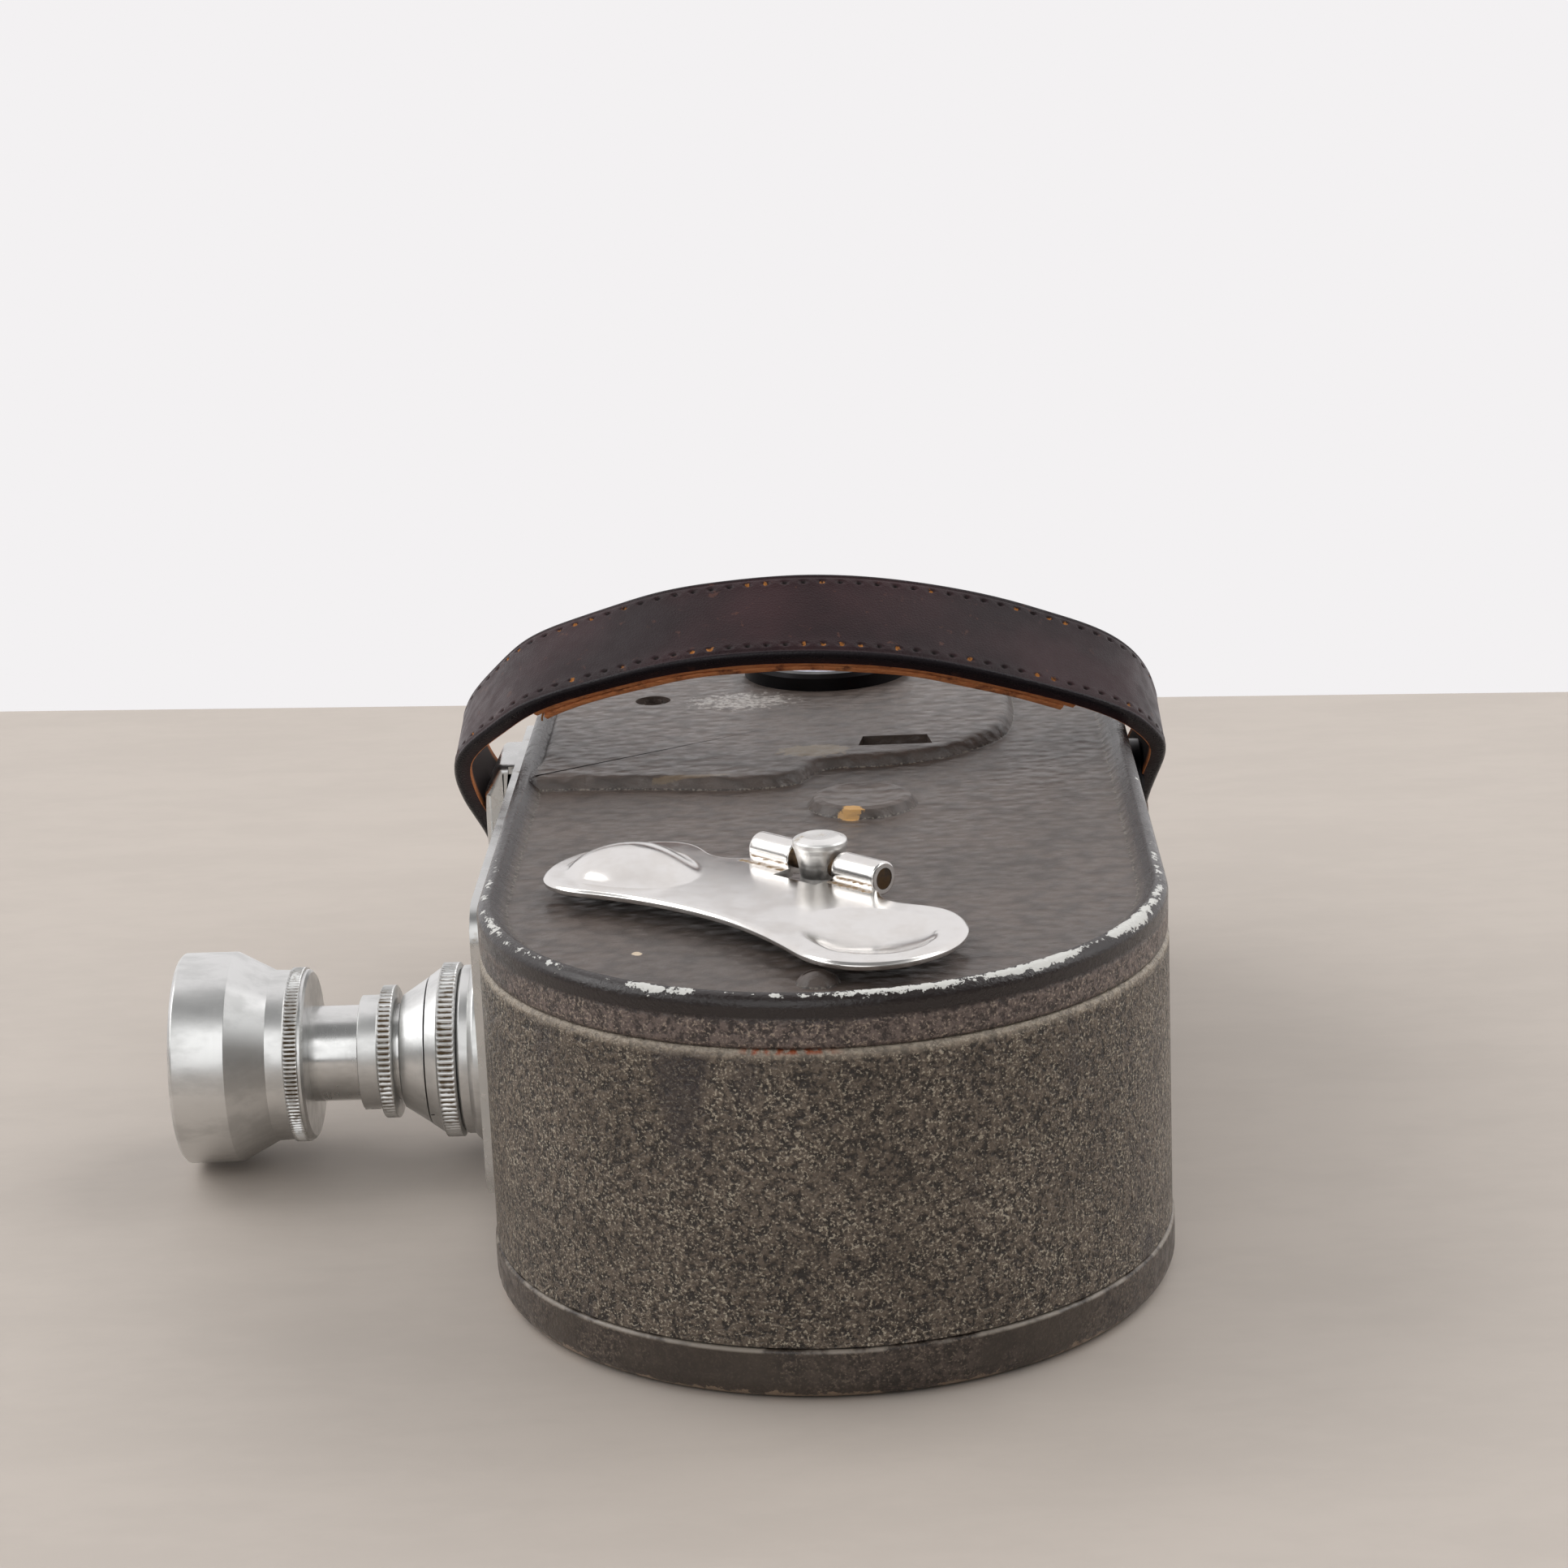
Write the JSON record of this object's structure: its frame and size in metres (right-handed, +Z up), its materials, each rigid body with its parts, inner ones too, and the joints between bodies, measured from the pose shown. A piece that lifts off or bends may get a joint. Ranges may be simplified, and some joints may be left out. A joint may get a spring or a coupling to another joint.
{
  "type": "spring-driven cine camera",
  "caption": "Spring-driven cine camera with oblong metal casing, folding winding key, screw-mount lens, viewfinder and leather carrying strap, lying on its film door.",
  "frame": {"origin": "centre of the film door's flat outer face, on which the camera lies", "axes": "+Z up out of the winding-key side, +Y towards the end with the strap and the counter, the lens points along -X"},
  "size_m": [0.1693, 0.2206, 0.0905],
  "materials": {
    "crackle_paint": "crackle enamel, worn",
    "cover_paint": "hammered enamel, semi-gloss, worn rim",
    "door_paint": "crackle enamel, worn edge",
    "plated_steel": "satin plated, tarnished",
    "key_nickel": "polished nickel, stained",
    "lens_aluminium": "satin turned",
    "blackened_metal": "black, satin",
    "aged_bronze": "aged, satin",
    "steel": "ground",
    "gear_brass": "machined",
    "spring_steel": "blued",
    "motor_shell": "spun",
    "plate_alloy": "cast, machined",
    "spool_enamel": "black enamel",
    "dial_enamel": "pale enamel",
    "optical_glass": "polished",
    "strap_leather": "polished, tooled",
    "raw_leather": "raw, frayed",
    "belt_rubber": "matt"
  },
  "bodies": {
    "camera_body": {"housing_band": "crackle_paint", "key_side_cover": "cover_paint", "mechanism_plate": "plate_alloy", "front_plate": "plated_steel", "front_plate_screws": "plated_steel", "lens_mount_ring": "lens_aluminium", "lens_flange": "lens_aluminium", "finder_hood": "plated_steel", "finder_glasses": "optical_glass", "finder_tube": "steel", "finder_eyepiece": "blackened_metal", "film_gate": "steel", "supply_spindle": "steel", "shutter_bearings": "gear_brass", "plate_screws": "steel", "cover_screws": "steel", "strap_posts": "steel", "strap_screws": "aged_bronze", "take_up_belt": "belt_rubber", "counter_bezel": "blackened_metal", "counter_dial": "dial_enamel", "counter_glass": "optical_glass"},
    "door": {"film_door": "door_paint"},
    "door_lock": {"door_lock_knob": "plated_steel", "door_latch_bar": "steel"},
    "winding_shaft": {"key_hub": "key_nickel", "winding_arbor": "steel", "ratchet_wheel": "steel", "key_pin": "aged_bronze"},
    "key_wings": {"key_plate": "key_nickel"},
    "pawl": {"ratchet_pawl": "steel"},
    "motor": {"spring_barrel": "motor_shell", "barrel_lid": "motor_shell", "mainspring": "spring_steel"},
    "film_drive": {"sprocket_shaft": "steel", "drive_pinion": "steel", "film_sprocket": "motor_shell", "drive_gear": "gear_brass", "drive_pulley": "gear_brass"},
    "crown": {"crown_shaft": "steel", "crown_wheel": "gear_brass"},
    "shutter": {"shutter_shaft": "steel", "shutter_disc": "blackened_metal"},
    "governor": {"governor_shaft": "steel", "governor_weights": "gear_brass"},
    "take_up": {"take_up_spindle": "steel", "take_up_spool": "spool_enamel"},
    "supply": {"supply_spool": "spool_enamel"},
    "claw": {"film_claw": "steel"},
    "pressure": {"pressure_plate": "plated_steel"},
    "counter": {"counter_hand": "blackened_metal"},
    "speed_disc": {"speed_scale": "dial_enamel"},
    "release": {"run_button": "blackened_metal"},
    "focus": {"focus_ring": "lens_aluminium"},
    "lens_front": {"lens_barrel": "lens_aluminium", "lens_front_housing": "lens_aluminium", "lens_glasses": "optical_glass"},
    "iris": {"iris_ring": "lens_aluminium"},
    "handle": {"strap_handle": "strap_leather", "strap_lining": "raw_leather"}
  },
  "joints": [
    {"name": "door_lift", "type": "slide", "parent": "camera_body", "child": "door", "axis": [0, 0, -1], "range_m": [0, 0.03]},
    {"name": "lock_turn", "type": "hinge", "parent": "door", "child": "door_lock", "pos_m": [0, 0.03, 0.003], "axis": [0, 0, 1], "range_deg": [0, 90]},
    {"name": "key_wind", "type": "hinge", "parent": "camera_body", "child": "winding_shaft", "pos_m": [0, -0.058, 0.056], "axis": [0, 0, 1], "continuous": true},
    {"name": "key_fold", "type": "hinge", "parent": "winding_shaft", "child": "key_wings", "pos_m": [0, -0.058, 0.0638], "axis": [-0.7254, 0.6884, 0], "range_deg": [0, 90]},
    {"name": "pawl_lift", "type": "hinge", "parent": "camera_body", "child": "pawl", "pos_m": [0.012, -0.047, 0.0518], "axis": [0, 0, 1], "range_deg": [0, 8], "stiffness_Nm_per_rad": 0.02, "springref_deg": -5.73},
    {"name": "motor_spin", "type": "hinge", "parent": "camera_body", "child": "motor", "pos_m": [0, -0.058, 0.04], "axis": [0, 0, 1], "continuous": true},
    {"name": "drive_spin", "type": "hinge", "parent": "camera_body", "child": "film_drive", "pos_m": [-0.024, -0.0063, 0.036], "axis": [0, 0, 1], "continuous": true},
    {"name": "crown_spin", "type": "hinge", "parent": "camera_body", "child": "crown", "pos_m": [-0.03854, -0.01, 0.038], "axis": [0, 0, 1], "continuous": true},
    {"name": "shutter_spin", "type": "hinge", "parent": "camera_body", "child": "shutter", "pos_m": [-0.046, -0.01, 0.034], "axis": [1, 0, 0], "continuous": true},
    {"name": "governor_spin", "type": "hinge", "parent": "camera_body", "child": "governor", "pos_m": [-0.0165, 0.00669, 0.045], "axis": [0, 0, 1], "continuous": true},
    {"name": "take_up_spin", "type": "hinge", "parent": "camera_body", "child": "take_up", "pos_m": [0, 0.058, 0.02], "axis": [0, 0, 1], "continuous": true},
    {"name": "supply_spin", "type": "hinge", "parent": "camera_body", "child": "supply", "pos_m": [0, -0.058, 0.02], "axis": [0, 0, 1], "continuous": true},
    {"name": "claw_stroke", "type": "slide", "parent": "camera_body", "child": "claw", "axis": [0, 1, 0], "range_m": [0, 0.00762]},
    {"name": "pressure_lift", "type": "slide", "parent": "camera_body", "child": "pressure", "axis": [1, 0, 0], "range_m": [0, 0.003], "stiffness_N_per_m": 150, "springref_m": -0.002},
    {"name": "counter_turn", "type": "hinge", "parent": "camera_body", "child": "counter", "pos_m": [0, 0.07, 0.062], "axis": [0, 0, 1], "continuous": true},
    {"name": "speed_turn", "type": "hinge", "parent": "camera_body", "child": "speed_disc", "pos_m": [0.012, 0.028, 0.05], "axis": [0, 0, 1], "range_deg": [-60, 60]},
    {"name": "release_press", "type": "slide", "parent": "camera_body", "child": "release", "axis": [1, 0, 0], "range_m": [0, 0.0025], "stiffness_N_per_m": 400, "springref_m": -0.0005},
    {"name": "focus_turn", "type": "hinge", "parent": "camera_body", "child": "focus", "pos_m": [-0.064, -0.01, 0.0185], "axis": [-1, 0, 0], "range_deg": [0, 270]},
    {"name": "lens_extend", "type": "slide", "parent": "camera_body", "child": "lens_front", "axis": [-1, 0, 0], "range_m": [0, 0.0012]},
    {"name": "iris_turn", "type": "hinge", "parent": "lens_front", "child": "iris", "pos_m": [-0.075, -0.01, 0.0185], "axis": [-1, 0, 0], "range_deg": [0, 80]},
    {"name": "handle_swing", "type": "hinge", "parent": "camera_body", "child": "handle", "pos_m": [0, 0.058, 0.033], "axis": [1, 0, 0], "range_deg": [-130, 0]}
  ],
  "couplings": [
    {"joint": "drive_spin", "follows": "motor_spin", "ratio": -5},
    {"joint": "crown_spin", "follows": "motor_spin", "ratio": 20},
    {"joint": "governor_spin", "follows": "motor_spin", "ratio": 20},
    {"joint": "shutter_spin", "follows": "motor_spin", "ratio": 40},
    {"joint": "take_up_spin", "follows": "motor_spin", "ratio": -5},
    {"joint": "counter_turn", "follows": "motor_spin", "ratio": 0.01},
    {"joint": "focus_turn", "follows": "lens_extend", "rad_per_m": 3926.6}
  ]
}
